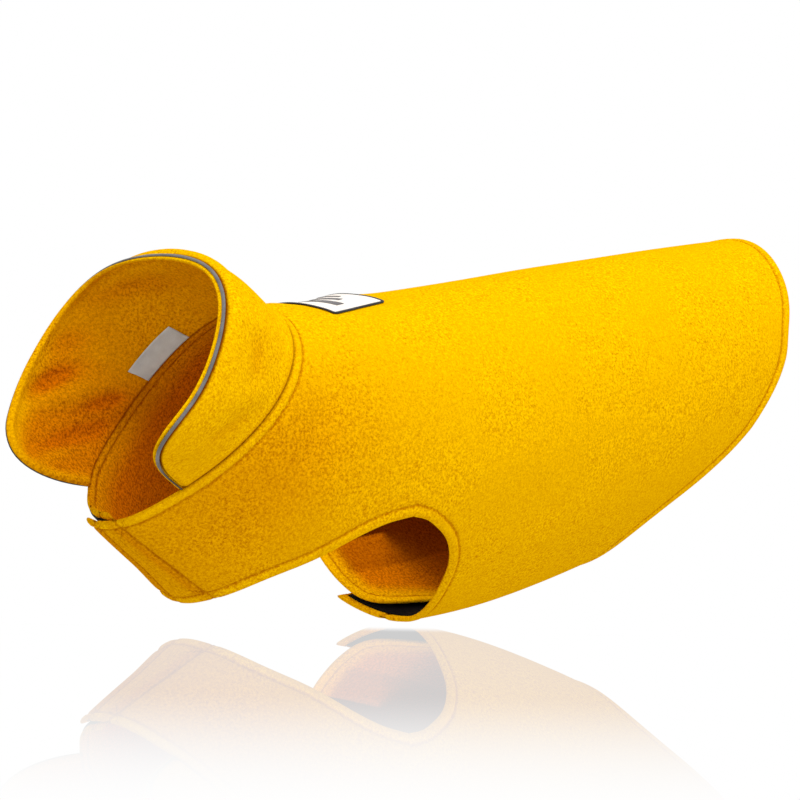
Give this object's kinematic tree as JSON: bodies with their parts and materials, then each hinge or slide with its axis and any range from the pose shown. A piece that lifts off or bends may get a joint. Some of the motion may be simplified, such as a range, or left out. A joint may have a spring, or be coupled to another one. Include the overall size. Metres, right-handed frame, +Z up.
{
  "type": "dog winter coat",
  "caption": "Fleece dog coat in its worn shape: hollow trunk, chest and belly flaps lapped and closed by hook and loop tape, open leg holes, stand-up collar with piping.",
  "frame": {"origin": "on the inner face of the back, on the centre line over the withers, where the wearer carries the coat", "axes": "+X to the tail, +Y to the dog's right, +Z up"},
  "size_m": [0.7679, 0.2016, 0.3066],
  "materials": {
    "fleece": "brushed polyester fleece with a short nap",
    "piping": "grey satin cord",
    "tape": "black hook and loop tape",
    "label": "grey satin ribbon",
    "patch": "white woven patch with a black overlocked border"
  },
  "bodies": {
    "root": {"body_panel": "fleece", "collar_outer": "fleece", "collar_inner": "fleece", "collar_piping": "piping", "chest_loop": "tape", "chest_hook": "tape", "belly_loop": "tape", "belly_hook": "tape", "size_label": "label", "back_patch": "patch"}
  },
  "joints": []
}
